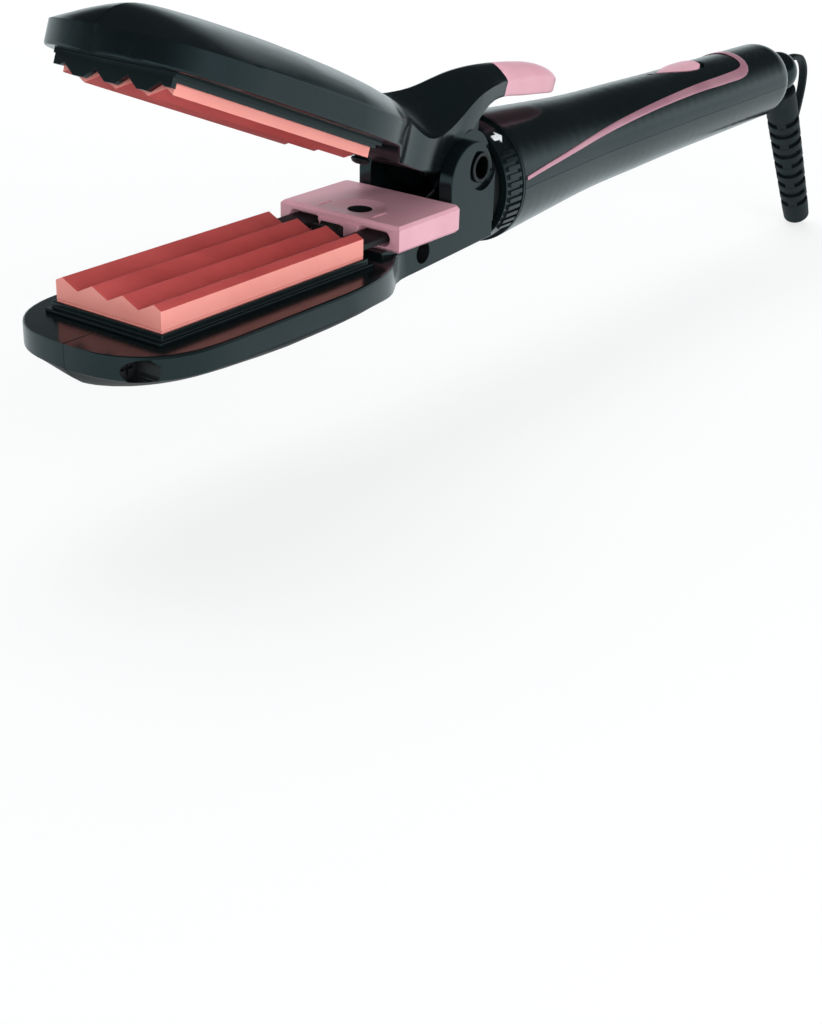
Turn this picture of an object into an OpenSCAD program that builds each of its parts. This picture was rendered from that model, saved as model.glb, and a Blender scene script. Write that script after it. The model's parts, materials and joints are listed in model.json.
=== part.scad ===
// Hair waver with a lift-off two-sided plate.
// Millimetres. The jaw hinge's axis is the Y axis, the jaws point along -X,
// the handle runs along +X and +Z is up. The jaws stand open, as in use.

/* [Jaws] */
// Distance from the hinge to the front of the lower jaw
jaw_reach = 139.4; // [132:0.2:150]
// How much shorter the upper jaw is than the lower one
upper_setback = 3.6; // [0:0.2:5]
// Half of the jaws' width
jaw_half_w = 26; // [24:0.5:30]
// Height of the jaws' side walls
jaw_wall_h = 5.7; // [5:0.1:7]
// Rise of the jaws' crowned backs over the side walls
jaw_crown_h = 8.8; // [7:0.1:10]
// Length of the rounded front end of a jaw
jaw_nose_l = 27.4; // [24:0.2:32]
// Opening angle of the jaws at rest
jaw_open_deg = 21; // [18:0.5:22]
// Half of the width of the arms behind the jaws
arm_half_w = 15.5; // [15:0.1:17]
// Height of the lower jaw's rim under the hinge
lower_rim_drop = 14.9; // [14.5:0.1:16]
// Height of the closed upper jaw's rim under the hinge
upper_rim_drop = 2.4; // [2:0.1:2.8]

/* [Plates] */
// Length of the heated plates
plate_l = 71.8; // [66:0.2:74]
// Half of the width of the heated plates
plate_half_w = 16.5; // [15.8:0.1:17]
// Distance from the jaw's front to the plate's front
plate_front_gap = 13.9; // [13:0.1:16]
// Distance between two waves of the ribbed faces
wave_pitch = 9.5; // [9:0.1:9.8]
// Depth of the waves
wave_depth = 2.3; // [1.8:0.1:2.6]
// Thickness of the lift-off plate at a wave's peak
cassette_t = 5.7; // [5.2:0.1:5.9]
// Gap between the ribbed faces when the jaws are closed
wave_gap = 0.4; // [0.3:0.05:0.6]
// Thickness of the smooth lower plate
lower_plate_t = 2.4; // [2:0.1:3]

/* [Plate grip] */
// Half of the width of the lift-off plate's grip
grip_half_w = 19.6; // [18:0.2:21]
// Distance from the plate to the grip
grip_gap = 10.8; // [10:0.1:12]
// Distance from the grip to the ears of the lower arm
grip_ear_gap = 4.5; // [4:0.1:6]
// Thickness of the grip
grip_t = 7; // [6.5:0.1:7.2]
// Radius of the head of the latch post
post_head_r = 2.6; // [2.2:0.1:3]
// Clearance round the post and the peg
post_clear = 0.7; // [0.5:0.1:1]

/* [Hinge] */
// Outer radius of the hollow hinge pin
pin_r = 4.2; // [4:0.1:4.6]
// Radius of the hole through the hinge pin
pin_hole_r = 3; // [2.5:0.1:3.3]
// Radius of the upper arm's knuckle
knuckle_r = 9.4; // [9:0.1:9.6]
// Thickness of each of the lower arm's ears
ear_t = 4; // [3.5:0.1:4.5]
// Radius of the ears' rounded tops
ear_r = 10.4; // [10:0.1:10.8]
// Radial clearance of running fits
run_fit = 0.08; // [0.04:0.01:0.1]
// Wire diameter of the hinge spring
spring_wire = 1.4; // [1:0.1:1.6]

/* [Handle] */
// Height of the handle's axis under the hinge
axis_drop = 8.8; // [8.4:0.1:9.2]
// Largest radius of the handle, at its front
handle_front_r = 18.3; // [17.5:0.1:19]
// Radius of the slim rear part of the handle
handle_rear_r = 13; // [12.5:0.1:14]
// Distance from the hinge to the rear end of the handle
handle_end = 208; // [204:0.5:216]
// Wall thickness of the handle's shells
handle_wall = 2; // [1.6:0.1:2.4]
// Start of the handle's shells behind the lock ring
handle_start = 17.8; // [17.4:0.1:18.2]
// Wall of the front collar that the lock ring turns on
collar_wall = 2.6; // [2.4:0.1:3]
// Length of the spigot inside the handle
spigot_l = 21; // [18:0.5:22]

/* [Lock ring] */
// Front of the lock ring behind the hinge
ring_start = 9.3; // [9.2:0.1:9.6]
// Number of grip ribs on each side of the ring
ring_ribs = 11; // [7:1:13]
// Height of the grip ribs
rib_h = 0.8; // [0.5:0.1:1]
// Thickness of the ring between its ribs
ring_wall = 1.9; // [1.5:0.1:2.2]

/* [Switch] */
// Length of the sliding switch button
slider_l = 25; // [22:0.5:27]
// Half of the width of the button
slider_half_w = 4.4; // [4:0.1:5]
// Travel of the button
slider_travel = 3; // [2:0.5:4]
// Front tip of the button behind the hinge
slider_start = 123; // [120:0.5:128]

/* [Cord swivel] */
// Radius of the swivel's ball
ball_r = 7.4; // [7:0.1:7.8]
// Distance of the ball behind the handle's end
ball_gap = 8.6; // [8.2:0.1:10]
// Lean of the strain relief from upright
relief_lean = 30; // [25:1:32]
// Length of the strain relief from the ball's centre
relief_l = 72; // [60:1:80]
// Radius of the strain relief at its top
relief_top_r = 5.9; // [5.5:0.1:6.3]
// Radius of the strain relief at its end
relief_end_r = 4.9; // [4.6:0.1:5.2]
// Number of ribs round the strain relief
relief_ribs = 9; // [6:1:10]
// Radius of the hole for the mains lead
lead_r = 2.8; // [2.5:0.1:3.2]

/* [Hidden] */

$fn = 48;
fit = 0.1;          // gap between parts that are pushed together
black = "#15191b";
pink = "#e6afc0";
salmon = "#f0948f";
steel = "#a9adb2";

arm_rear = 6;                        // rear face of the lower arm and its ears
gap_in_ears = 0.3;                   // side gap of the knuckle between the ears
knuckle_half = arm_half_w - ear_t - gap_in_ears;
lower_rim = -lower_rim_drop;
upper_rim = -upper_rim_drop;
lower_front = -jaw_reach;
upper_front = -jaw_reach + upper_setback;
plate_front = lower_front + plate_front_gap;
plate_rear = plate_front + plate_l;
frame_border = 2.3;                  // step of the plate frames outside the plate
frame_side = 1.6;
flange_t = 1;
lip_h = 2.5;                         // lip of the lower frame over the rim
seat_gap = 0.05;
lower_face = lower_rim + lip_h + 0.35;            // top of the smooth plate
cassette_z = lower_face + seat_gap;
peak_z = cassette_z + cassette_t;
arm_deck = lower_rim + 1.4;          // flat top of the lower arm
upper_deck = -5.9;                   // underside of the closed upper arm
lower_pocket_h = 8.2;                // depth of the jaws' pockets under their rims
upper_pocket_h = 7.4;
lower_pocket_floor = lower_rim - lower_pocket_h;
upper_pocket_roof = upper_rim + upper_pocket_h;
axis_z = -axis_drop;
grip_x0 = plate_rear + grip_gap;
grip_x1 = -ear_r - grip_ear_gap;
grip_z = arm_deck + seat_gap;
post_x = plate_rear + 19.7;
peg_x = plate_rear + 6.2;
collar_r = handle_front_r - rib_h - ring_wall;
spigot_r = collar_r - collar_wall;
ring_end = handle_start - 0.2;
neck_end = ring_start + 0.4;
spigot_end = neck_end + spigot_l;
ball_x = handle_end + ball_gap;

// ---- curves ----------------------------------------------------------

// quarter of a superellipse, from 1 at t = 0 to 0 at t = 1
function quarter(t, n) = pow(max(0, 1 - pow(min(1, max(0, t)), n)), 1 / n);
// the larger of two values, with the corner between them rounded by k
function soft_max(a, b, k) = (a + b + sqrt((a - b) * (a - b) + k * k)) / 2;
// value of a smooth curve through the rows [x, value, ...] at x, column c
function seg_at(x, rows, i) =
    (i >= len(rows) - 2 || x < rows[i + 1][0]) ? i : seg_at(x, rows, i + 1);
function slope_at(rows, i, c) =
    let (a = max(0, i - 1), b = min(len(rows) - 1, i + 1))
    (rows[b][c] - rows[a][c]) / (rows[b][0] - rows[a][0]);
function curve(x, rows, c = 1) =
    let (i = seg_at(x, rows, 0), p = rows[i], q = rows[i + 1], h = q[0] - p[0],
        t = min(1, max(0, (x - p[0]) / h)), m = slope_at(rows, i, c) * h,
        n = slope_at(rows, i + 1, c) * h)
    (2 * t * t * t - 3 * t * t + 1) * p[c] + (t * t * t - 2 * t * t + t) * m
    + (3 * t * t - 2 * t * t * t) * q[c] + (t * t * t - t * t) * n;

// ---- jaw shells --------------------------------------------------------

nose_n = 2.6;
tail_n = 2.3;
tail_start = 75;      // straight sides end here, ahead of the hinge
tail_l = 41;
waist_round = 2.6;

// half width of a jaw and its arm at x, for a jaw whose front is at front
function jaw_y(x, front) =
    let (nose = jaw_half_w * quarter((front + jaw_nose_l - x) / jaw_nose_l, nose_n),
        tail = jaw_half_w * quarter((x + tail_start) / tail_l, tail_n),
        body = soft_max(min(tail, jaw_half_w), arm_half_w - 0.2, waist_round))
    x < front + jaw_nose_l ? min(nose, body) : body;

// x of the cross-sections: close together at the nose, where the outline turns
nose_steps = 14;
function nose_xs(front) = [for (i = [0 : nose_steps])
    front + jaw_nose_l * (1 - pow(cos(3 + 87 * i / nose_steps), 2 / nose_n))];
function even_xs(a, b, n) = [for (i = [1 : n]) a + (b - a) * i / n];

// rise of the crowned back over the side wall: full from a little behind the nose
crown_rows = [[0, 0], [3, 0.38], [6, 0.62], [12, 0.83], [22, 0.94], [40, 1], [62, 0.99],
    [84, 0.9], [100, 0.76]];
function crown(x, front) = jaw_crown_h * curve(x - front, crown_rows);

// heights across a section, from the middle out: share of the half width, rounded share
// of the rise and scooped share of the rise
edge_r = 0.7;         // rounding of the rims' outer edges
across = [0, 0.12, 0.26, 0.4, 0.53, 0.65, 0.76, 0.85, 0.92, 0.97, 1];
// sharper towards the nose (k = 0), fuller behind it (k = 1)
function round_rise(t, k) = pow(1 - pow(t, mix(1.3, 2.2, k)), mix(1, 0.72, k));
function fullness(x, front) = min(1, max(0, (x - front - 4) / 44));
function scoop_rise(t) = (1 + cos(180 * pow(t, 0.85))) / 2;

// solid through cross-sections of equal point count, each at its own x
module loft(xs, sections) {
    n = len(sections[0]);
    m = len(xs);
    points = [for (i = [0 : m - 1]) for (p = sections[i]) [xs[i], p[0], p[1]]];
    sides = [for (i = [0 : m - 2]) for (j = [0 : n - 1])
        let (a = i * n + j, b = i * n + (j + 1) % n)
        each [[a, a + n, b], [b, a + n, b + n]]];
    front = [[for (j = [0 : n - 1]) j]];
    rear = [[for (j = [n - 1 : -1 : 0]) (m - 1) * n + j]];
    polyhedron(points, concat(sides, front, rear), convexity = 6);
}

// half of the lower jaw and arm, on the +Y side
lower_bottom_rows = [[-60, 1], [-44, 0.62], [-30, 0.3], [-14, 0.1], [10, 0]];
lower_xs = concat(nose_xs(lower_front), even_xs(lower_front + jaw_nose_l, -tail_start, 5),
    even_xs(-tail_start, -30, 14), even_xs(-30, arm_rear, 3));
function lower_top(x) = x < -tail_start + 30 ? lower_rim : arm_deck;
arm_floor_rows = [[-140, -20.6], [-100, -20.4], [-60, -20.6], [-46, -22.6], [-34, -22.4],
    [-16, -21.4], [6, -20.3]];
function lower_wall_foot(x) = curve(x, arm_floor_rows);
function lower_section(x) =
    let (w = jaw_y(x, lower_front), foot = lower_wall_foot(x),
        rise = crown(x, lower_front) * (x < -tail_start ? 1
            : max(0.06, curve(x, [[-75, 1], [-60, 0.9], [-44, 0.5], [-30, 0.22], [6, 0.1]]))))
    concat([[0, lower_rim], [w - edge_r, lower_rim], [w - 0.3 * edge_r, lower_rim - 0.3 * edge_r],
        [w, lower_rim - edge_r]],
        [for (i = [len(across) - 1 : -1 : 0]) let (t = across[i])
            [w * t, foot - rise * round_rise(t, fullness(x, lower_front))]]);
module lower_half() {
    loft(lower_xs, [for (x = lower_xs) let (s = lower_section(x)) [for (k = [len(s) - 1 : -1 : 0]) s[k]]]);
}

// ear and arm deck of the lower half, on the +Y side
ear_x = -4.2;
ear_z = -2.7;
module ear_outline(grow = 0) {
    translate([ear_x, -ear_z]) circle(ear_r + grow);
    polygon([[ear_x - ear_r - grow, -ear_z], [ear_x - ear_r + 0.3 - grow, -arm_deck + 1],
        [arm_rear + grow, -arm_deck + 1], [arm_rear + grow, -ear_z]]);
}
// 2D shape in X and -Z, given a thickness along Y from y0 to y1
module across_y(y0, y1) translate([0, y1, 0]) rotate([90, 0, 0]) linear_extrude(y1 - y0)
    mirror([0, 1]) children();

deck_front = plate_rear + 9;
module lower_case_half() {
    difference() {
        union() {
            lower_half();
            translate([deck_front, 0, lower_rim - 1])
                cube([arm_rear - deck_front, arm_half_w, arm_deck - lower_rim + 1]);
            across_y(arm_half_w - ear_t, arm_half_w) intersection() {
                ear_outline();
                translate([-60, -20]) square([60 + arm_rear, 60]);
            }
        }
        // pocket for the frame, plate and heater
        translate([plate_front - frame_border + 0.7, -1, lower_pocket_floor])
            cube([plate_l + 2 * frame_border - 1.4, plate_half_w + 1 + 1 + fit, 10]);
        // post and peg sockets
        translate([post_x, 0, arm_deck - 4]) cylinder(r = 1.7 + run_fit, h = 6);
        translate([peg_x - 2.6 - fit, -1, lower_rim - 4]) cube([5.2 + 2 * fit, 1 + 3.2 + fit, 8]);
        // hinge pin: bore and recess of its ring
        rotate([90, 0, 0]) translate([0, 0, -arm_half_w - 1]) cylinder(r = pin_r + 0.02, h = 2 * arm_half_w);
        translate([0, arm_half_w + 1, 0]) rotate([90, 0, 0]) cylinder(r = pin_r + 2, h = 1 + 1.2);
    }
}

screw_xs = [post_x + 7.5, lower_front + 5.4];
screw_zs = [-17.6, -18.6];
screw_head_r = 2.9;
screw_r = 1.4;
head_y = [-6, -12];        // where each head seats
screw_tip = 9;
module lower_screw_holes(side) {
    for (i = [0, 1]) translate([screw_xs[i], 0, screw_zs[i]]) rotate([90, 0, 0]) {
        if (side < 0) {
            cylinder(r = screw_r + 0.05, h = 40);
            translate([0, 0, -head_y[i]]) cylinder(r = screw_head_r, h = 40);
        } else translate([0, 0, -screw_tip - 0.2]) cylinder(r = screw_r + 0.02, h = 12);
    }
}
module lower_case_near() color(black) difference() {
    mirror([0, 1, 0]) lower_case_half();
    lower_screw_holes(-1);
}
module lower_case_far() color(black) difference() {
    lower_case_half();
    lower_screw_holes(1);
}
module pan_screw(head_at, tip) {
    rotate([90, 0, 0]) translate([0, 0, -tip]) cylinder(r = screw_r, h = tip - head_at);
    translate([0, head_at, 0]) rotate([90, 0, 0]) difference() {
        cylinder(r = screw_head_r - 0.15, h = 2);
        for (a = [0, 90]) rotate(a) translate([-2, -0.35, 1]) cube([4, 0.7, 2]);
    }
}
module lower_case_screws() color(steel) for (i = [0, 1])
    translate([screw_xs[i], 0, screw_zs[i]]) pan_screw(head_y[i], screw_tip);

// ---- plates, frames and heaters ------------------------------------------

module plate_window(z0, h, grow) translate([plate_front - grow, -plate_half_w - grow, z0])
    cube([plate_l + 2 * grow, 2 * (plate_half_w + grow), h]);

skirt = 0.9;
module lower_plate_frame() color(black) difference() {
    union() {
        translate([plate_front - frame_border, -plate_half_w - frame_side, lower_rim])
            cube([plate_l + 2 * frame_border, 2 * (plate_half_w + frame_side), flange_t]);
        plate_window(lower_rim - 3, 3 + lip_h, skirt);
    }
    plate_window(lower_rim - 4, 10, fit);
    translate([peg_x - 3, -4, lower_rim - 4]) cube([6, 8, 10]);
}
module lower_plate() color(salmon) plate_window(lower_face - lower_plate_t, lower_plate_t, 0);

heater_l = 58;
heater_half_w = 9;
heater_t = 2.2;
heater_x = plate_front + 7;
module lower_heater() color("#e9e4da")
    translate([heater_x, -heater_half_w, lower_face - lower_plate_t - heater_t])
        cube([heater_l, 2 * heater_half_w, heater_t]);
lower_heater_foot = lower_face - lower_plate_t - heater_t;
// arched leaf that presses a heater to its plate
module leaf_spring(z_foot, z_top) {
    t = 0.4;
    h = z_top - z_foot;
    translate([heater_x + 8, 4, z_foot]) rotate([90, 0, 0]) linear_extrude(8)
        polygon(concat([for (i = [0 : 12]) [i * 3.5, (h - t) * sin(15 * i)]],
            [for (i = [12 : -1 : 0]) [i * 3.5, (h - t) * sin(15 * i) + t]]));
}
module lower_heater_spring() color(steel)
    leaf_spring(lower_pocket_floor, lower_heater_foot);

// side-to-side profile of the waves: height over y, peaks at half pitches
function wave(y) = wave_depth * (1 - abs((abs(y / wave_pitch) % 1) * 2 - 1));
wave_ys = concat([-plate_half_w], [for (i = [-3 : 3]) i * wave_pitch / 2], [plate_half_w]);
module lift_profile(l) translate([plate_front, 0, 0]) rotate([90, 0, 90]) linear_extrude(l) children();

module cassette_plate() color(salmon) difference() {
    lift_profile(plate_l) polygon(concat(
        [[plate_half_w, cassette_z], [-plate_half_w, cassette_z]],
        [for (y = wave_ys) [y, peak_z - wave_depth + wave(y)]]));
    cassette_slots();
}
tongue_y = 11.3;
tongue_half = 4.2;
tongue_z = cassette_z + 1;
tongue_t = 1.6;
tongue_in = 6;
module cassette_slots() for (s = [-1, 1])
    translate([plate_rear - tongue_in, s * tongue_y - tongue_half - fit, tongue_z - fit])
        cube([tongue_in + 1, 2 * (tongue_half + fit), tongue_t + 2 * fit]);
module cassette_tongues() color("#1c1f21") for (s = [-1, 1])
    translate([plate_rear - tongue_in + fit, s * tongue_y - tongue_half, tongue_z])
        cube([grip_x0 - plate_rear + 2 * tongue_in, 2 * tongue_half, tongue_t]);

// keyhole and grip body
grip_corner = 2.2;
grip_bevel = 0.8;
tail_out = 0.6;
tail_half = 6.4;
module grip_outline() polygon(concat([[grip_x0, grip_half_w], [grip_x0, -grip_half_w]],
    [for (s = [-1, 1]) for (a = [0 : 15 : 90]) let (b = s < 0 ? a - 90 : a)
        [grip_x1 + grip_corner * (cos(b) - 1), s * (grip_half_w - grip_corner) + grip_corner * sin(b)]]));
module cassette_grip() color(pink) difference() {
    union() {
        // bevelled along its top and bottom edges
        hull() {
            translate([0, 0, grip_z]) linear_extrude(grip_t) offset(delta = -grip_bevel) grip_outline();
            translate([0, 0, grip_z + grip_bevel]) linear_extrude(grip_t - 2 * grip_bevel) grip_outline();
        }
        // tail between the tongues
        translate([grip_x0 - tail_out, -tail_half, grip_z + 0.4])
            cube([tail_out + 1, 2 * tail_half, grip_t - 2.6]);
    }
    // slots for the tongues, wider at their mouths
    for (s = [-1, 1]) translate([grip_x0 - 1, s * tongue_y, tongue_z + tongue_t / 2]) {
        translate([0, -tongue_half - fit, -tongue_t / 2 - fit])
            cube([tongue_in + 2, 2 * (tongue_half + fit), tongue_t + 2 * fit]);
        rotate([90, 0, 90]) linear_extrude(3.4) hull() for (e = [-1, 1])
            translate([e * (tongue_half - 1), 0]) circle(2.1);
    }
    // keyhole over the post, with a finger dish in the top
    translate([post_x, 0, grip_z - 1]) cylinder(r = post_head_r + post_clear, h = grip_t + 2);
    translate([post_x, 0, grip_z + grip_t + 9.4]) sphere(r = 12);
    for (s = [-1, 1]) translate([grip_x0 + 3, s * 9 - 0.6, grip_z + grip_t - 0.8])
        cube([5.5, 1.2, 2]);
}

module upper_frame_solid() {
    difference() {
        union() {
            translate([plate_front - frame_border, -plate_half_w - frame_side, upper_rim - flange_t])
                cube([plate_l + 2 * frame_border, 2 * (plate_half_w + frame_side), flange_t]);
            plate_window(upper_rim - 2, 5, skirt);
        }
        plate_window(upper_rim - 4, 10, fit);
    }
    // toothed guard before the plate's front
    guard_t = 1.5;
    tooth = 1.5;         // half of a tooth's flat foot
    notch_z = upper_rim - 2.6;
    foot_z = upper_rim - 4.9;
    p = wave_pitch;
    translate([plate_front - frame_border, 0, 0]) rotate([90, 0, 90]) linear_extrude(guard_t)
        polygon(concat([[-plate_half_w - 1, upper_rim - 0.5], [-plate_half_w - 1, foot_z + 1.6],
            [-plate_half_w + 1, foot_z + 1.6], [-1.5 * p, notch_z]],
            [for (i = [-1 : 1]) each [[i * p - tooth, foot_z], [i * p + tooth, foot_z],
                [(i + 0.5) * p, notch_z]]],
            [[plate_half_w - 1, foot_z + 1.6], [plate_half_w + 1, foot_z + 1.6],
            [plate_half_w + 1, upper_rim - 0.5]]));
}
upper_plate_top = upper_rim - 1.9;
module opened() rotate([0, jaw_open_deg, 0]) children();
module upper_plate_frame() color(black) opened() upper_frame_solid();
module upper_plate() color(salmon) opened()
    lift_profile(plate_l) polygon(concat(
        [[plate_half_w, upper_plate_top], [-plate_half_w, upper_plate_top]],
        [for (y = wave_ys) [y, peak_z + wave_gap - wave_depth + wave(y)]]));
module upper_heater() color("#e9e4da") opened()
    translate([heater_x, -heater_half_w, upper_plate_top]) cube([heater_l, 2 * heater_half_w, heater_t]);
module upper_heater_spring() color(steel) opened()
    mirror([0, 0, 1]) leaf_spring(-upper_pocket_roof, -(upper_plate_top + heater_t));

// peg with a notched top, and mushroom-headed post
peg_top = grip_z + grip_t - 1.4;
module peg(z0, z1, up) translate([peg_x, 0, z0]) mirror([0, 0, up ? 0 : 1])
    rotate([90, 0, 0]) linear_extrude(6.4, center = true)
        polygon([[-2.6, 0], [2.6, 0], [2.6, abs(z1 - z0) - 0.8], [1.2, abs(z1 - z0)],
            [0.4, abs(z1 - z0) - 0.9], [-0.6, abs(z1 - z0) - 0.9], [-1.4, abs(z1 - z0)],
            [-2.6, abs(z1 - z0)]]);
module plate_peg() color(black) peg(lower_rim - 4 + seat_gap, arm_deck + 5.4, true);
post_top = arm_deck + 4.9;
module post(h) rotate_extrude() polygon([[0, 0], [1.7, 0], [1.7, h - 1.8],
    [post_head_r - 0.4, h - 1.6], [post_head_r, h - 1.1], [post_head_r * 0.8, h - 0.35],
    [post_head_r * 0.45, h], [0, h]]);
module latch_post() color(black) translate([post_x, 0, arm_deck - 4 + seat_gap])
    post(post_top - arm_deck + 4 - seat_gap);
module upper_peg() color(black) opened() peg(upper_rim + 3, upper_rim - 3.4, false);
module upper_post() color(black) opened()
    translate([post_x, 0, upper_deck + 3 - seat_gap]) mirror([0, 0, 1]) post(3 + 1.9);

// ---- upper jaw, arm and lever ----------------------------------------------

// the arm and lever behind the jaw: x, half width, underside, top of the side wall,
// height of the middle, share of scoop
lever_rows = [
    [-46, 15.5, -5.9, 5.8, 11.2, 0.1],
    [-36, 15.3, -5.9, 4.0, 10.2, 0.6],
    [-26, 14.3, -5.9, 2.7, 12.8, 0.9],
    [-18, 12.7, -5.3, 5.0, 16.0, 1],
    [-11, 11.6, -2.5, 9.9, 19.6, 1],
    [-4, 10.9, 6.0, 16.8, 23.0, 0.95],
    [5, 9.3, 16.4, 22.0, 26.5, 0.75],
    [15, 7.1, 20.9, 25.3, 29.6, 0.4],
    [26, 6.7, 23.7, 28.6, 32.4, 0.1],
    [35, 6.6, 26.1, 31.0, 34.2, 0],
    [41, 5.9, 27.5, 31.8, 34.4, 0],
    [44.6, 4.2, 28.4, 31.8, 33.5, 0],
    [46.6, 1.8, 29.2, 31.2, 31.9, 0]];
lever_front = plate_rear + frame_border + 3.2;
tip_x = 15;
function blend_at(x) = min(1, max(0, (x - lever_front) / 5));
function mix(a, b, k) = a + (b - a) * k;
function upper_section(x) =
    let (k = x < lever_front ? 0 : blend_at(x),
        w0 = jaw_y(x, upper_front), foot0 = upper_rim, side0 = upper_rim + jaw_wall_h,
        top0 = side0 + crown(x, upper_front),
        w = x < -34 ? w0 : min(w0, curve(x, lever_rows, 1)),
        foot = mix(foot0, curve(x, lever_rows, 2), k), side = mix(side0, curve(x, lever_rows, 3), k),
        top = mix(top0, curve(x, lever_rows, 4), k), scoop = k * curve(x, lever_rows, 5))
    concat([[0, foot], [w - edge_r, foot], [w - 0.3 * edge_r, foot + 0.3 * edge_r], [w, foot + edge_r]],
        [for (i = [len(across) - 1 : -1 : 0]) let (t = across[i])
            [w * t, side + (top - side) * mix(round_rise(t, fullness(x, upper_front)), scoop_rise(t), scoop)]]);
upper_xs = concat(nose_xs(upper_front), even_xs(upper_front + jaw_nose_l, -tail_start, 5),
    even_xs(-tail_start, -30, 15), even_xs(-30, tip_x, 15));
lever_end = 46.6;
tip_xs = concat([tip_x], even_xs(tip_x, 39, 8), even_xs(39, lever_end, 7));
module upper_half_solid(xs) loft(xs, [for (x = xs) upper_section(x)]);

// room for the lower arm's ears over the whole turn of the jaw
ear_room = 0.9;
module ear_room_cut() across_y(knuckle_half, arm_half_w + 2)
    for (a = [0 : 7 : 21]) rotate(-a * jaw_open_deg / 21) ear_outline(ear_room);

web_drop = 4;         // underside of the knuckle's web under the hinge, clear of the lifted grip
web_half = knuckle_half - 1.2;
module upper_case_half() {
    difference() {
        union() {
            upper_half_solid(upper_xs);
            // knuckle round the hinge pin and the web that carries it
            across_y(0, knuckle_half) circle(knuckle_r);
            across_y(0, web_half)
                polygon([[-22, web_drop], [-11, web_drop - 0.2], [-5, knuckle_r - 1.5], [4, knuckle_r - 1.4],
                    [7, -4], [1.5, -9], [0.6, -14], [-4, -13.5], [-11, -8.5], [-18, -3.6], [-22, -2]]);
        }
        ear_room_cut();
        // pocket for the frame, plate and heater
        translate([plate_front - frame_border + 0.7, -1, upper_rim - 4])
            cube([plate_l + 2 * frame_border - 1.4, plate_half_w + 1 + 1 + fit, 4 + upper_pocket_h]);
        rotate([90, 0, 0]) translate([0, 0, -arm_half_w - 1])
            cylinder(r = pin_r + run_fit, h = 2 * arm_half_w);
        // room for the hinge spring and its legs
        rotate([90, 0, 0]) translate([0, 0, -spring_room]) cylinder(r = coil_r + 1.6, h = 2 * spring_room);
        translate([-20, -1, -16]) cube([25, 1 + spring_room, 16]);
        translate([-15, -1, 3]) cube([16, 1 + spring_room, 6.4]);
        // sockets for the peg and the post
        translate([peg_x - 2.6 - fit, -1, upper_rim - 5])
            cube([5.2 + 2 * fit, 1 + 3.2 + fit, 5 + 3 + seat_gap]);
        translate([post_x, 0, upper_deck - 1]) cylinder(r = 1.7 + run_fit, h = 1 + 3);
    }
}
upper_screw_x = post_x;
upper_screw_z = 0.5;
module upper_case_near() color(black) opened() difference() {
    mirror([0, 1, 0]) upper_case_half();
    translate([upper_screw_x, 0, upper_screw_z]) rotate([90, 0, 0]) cylinder(r = screw_r + 0.02, h = 9.2);
}
module upper_case_far() color(black) opened() difference() {
    upper_case_half();
    translate([upper_screw_x, 0, upper_screw_z]) rotate([-90, 0, 0]) {
        cylinder(r = screw_r + 0.05, h = 40);
        translate([0, 0, 6]) cylinder(r = screw_head_r, h = 40);
    }
}
module upper_case_screws() color(steel) opened() translate([upper_screw_x, 0, upper_screw_z])
    mirror([0, 1, 0]) pan_screw(-6, screw_tip);
module lever_tip() color(pink) opened() {
    upper_half_solid(tip_xs);
    mirror([0, 1, 0]) upper_half_solid(tip_xs);
}

// ---- hinge -------------------------------------------------------------------

pin_half = arm_half_w - 0.3;
module hinge_pin() color(steel) rotate([90, 0, 0]) translate([0, 0, -pin_half])
    difference() {
        cylinder(r = pin_r, h = 2 * pin_half);
        translate([0, 0, -1]) cylinder(r = pin_hole_r, h = 2 * pin_half + 2);
    }

coil_r = pin_r + 0.5 + spring_wire / 2;
coil_from = 290;      // the lower leg leaves here, downwards and forwards
coil_sweep = 4 * 360 + 130;
coil_n = 56;
coil_pitch = spring_wire + 0.12;
spring_room = 0.5 * coil_pitch * coil_sweep / 360 + spring_wire / 2 + 0.5;
function coil_point(i) = let (a = coil_from + coil_sweep * i / coil_n)
    [coil_r * cos(a), (i / coil_n - 0.5) * coil_pitch * coil_sweep / 360, coil_r * sin(a)];
spring_route = concat(
    [coil_point(0) + [-15.2, 0, -7.2], coil_point(0) + [-14, 0, -5.6], coil_point(0) + [-3, 0, -1.1]],
    [for (i = [0 : coil_n]) coil_point(i)],
    [coil_point(coil_n) + [-2.6, 0, 1.5], coil_point(coil_n) + [-10.4, 0, 6]]);
function unit(v) = v / norm(v);
module wire(route, r, sides) {
    n = len(route);
    rings = [for (i = [0 : n - 1])
        let (t = unit(route[min(n - 1, i + 1)] - route[max(0, i - 1)]),
            u = unit(cross(t, [0, 1, 0])), v = cross(t, u))
        for (k = [0 : sides - 1]) route[i] + r * (cos(360 * k / sides) * u + sin(360 * k / sides) * v)];
    polyhedron(rings, concat([[for (k = [0 : sides - 1]) k]],
        [for (i = [0 : n - 2]) for (k = [0 : sides - 1])
            let (a = i * sides + k, b = i * sides + (k + 1) % sides)
            each [[a, a + sides, b], [b, a + sides, b + sides]]],
        [[for (k = [sides - 1 : -1 : 0]) (n - 1) * sides + k]]));
}
module hinge_spring() color(steel) wire(spring_route, spring_wire / 2, 8);

// ---- head spigot and lock ring --------------------------------------------------

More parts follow.
